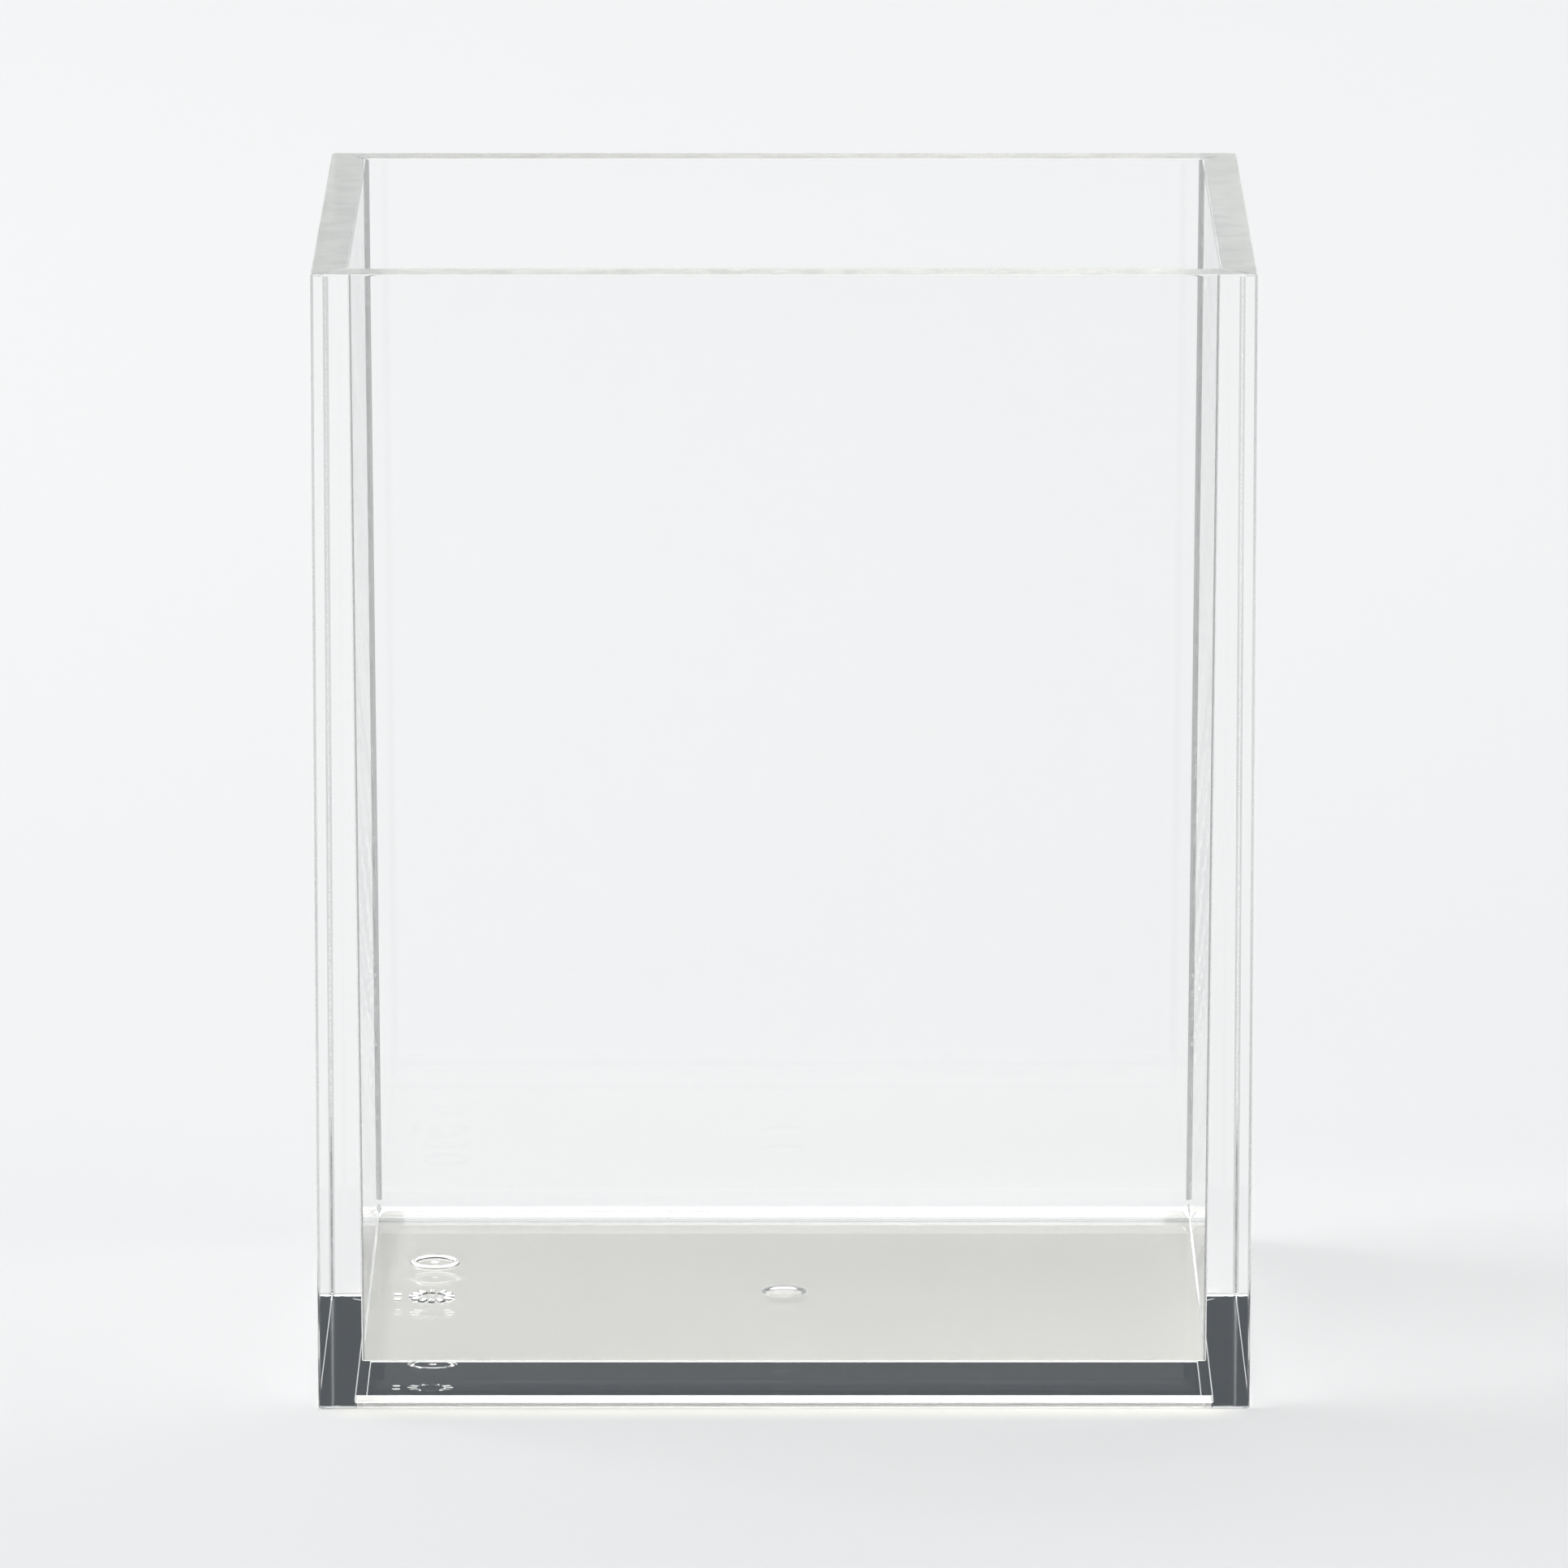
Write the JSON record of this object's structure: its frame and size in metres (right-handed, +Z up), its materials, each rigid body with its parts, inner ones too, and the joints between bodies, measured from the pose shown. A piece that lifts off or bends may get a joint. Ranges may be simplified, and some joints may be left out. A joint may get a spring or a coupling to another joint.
{
  "type": "pen holder cup",
  "caption": "Clear rectangular open-topped pen cup, moulded in one piece, with a level rim, draughted inside walls and a foot all round a shallow recess.",
  "frame": {"origin": "centre of the footprint, on the surface that the cup stands on", "axes": "+X along the wide front, +Y towards the back, +Z up to the rim; the front is the -Y side"},
  "size_m": [0.08, 0.06, 0.099],
  "materials": {
    "clear_plastic": "polished clear moulded plastic"
  },
  "bodies": {
    "root": {"cup_body": "clear_plastic"}
  },
  "joints": []
}
